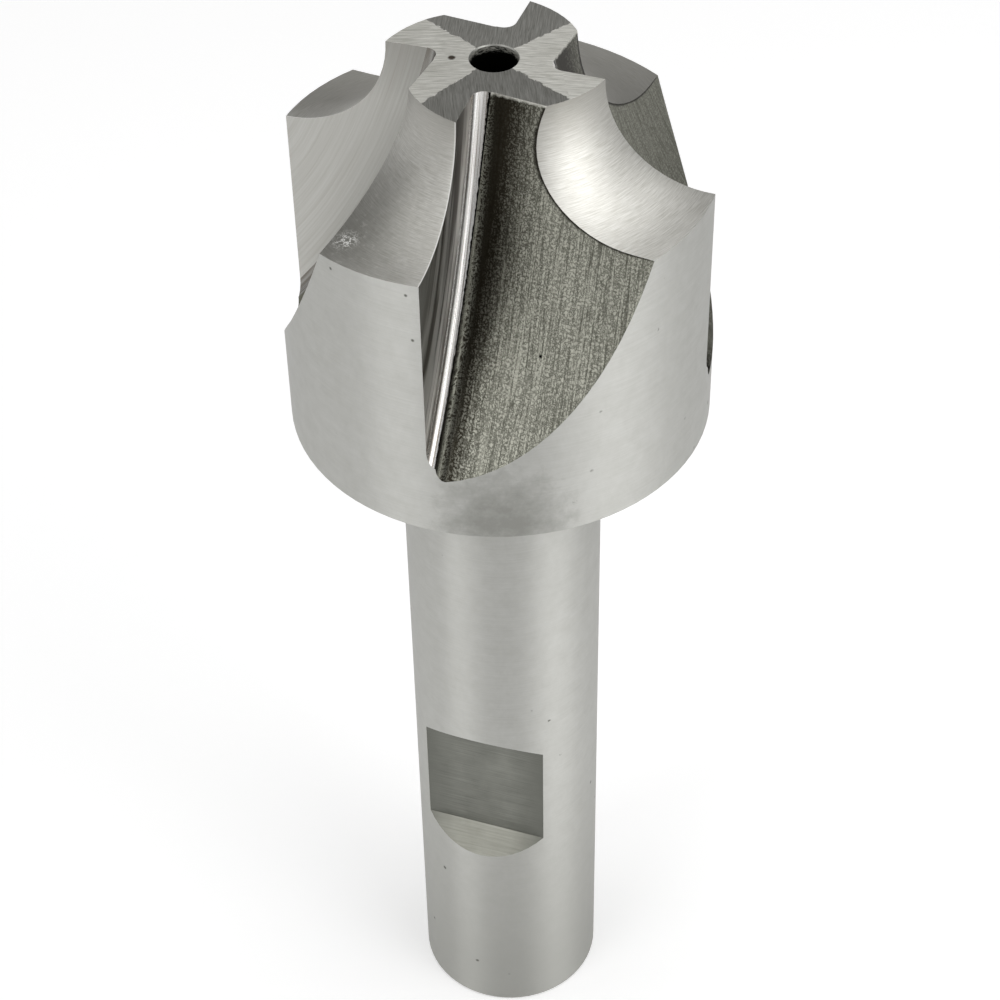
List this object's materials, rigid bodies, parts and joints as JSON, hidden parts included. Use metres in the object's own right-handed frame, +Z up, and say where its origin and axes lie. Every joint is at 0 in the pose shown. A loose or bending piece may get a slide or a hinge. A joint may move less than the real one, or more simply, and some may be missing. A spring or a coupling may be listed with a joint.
{
  "type": "corner rounding end mill",
  "caption": "Solid high speed steel corner rounding end mill: straight shank with a clamping flat, and a larger fluted head whose relieved teeth end in a concave quarter circle",
  "frame": {"origin": "centre of the shank's end face", "axes": "+Z runs up the tool's axis from the shank end to the nose, and the clamping flat faces -Y"},
  "size_m": [0.026, 0.026, 0.0786],
  "materials": {
    "ground_steel": "ground"
  },
  "bodies": {
    "root": {"end_mill": "ground_steel"}
  },
  "joints": []
}
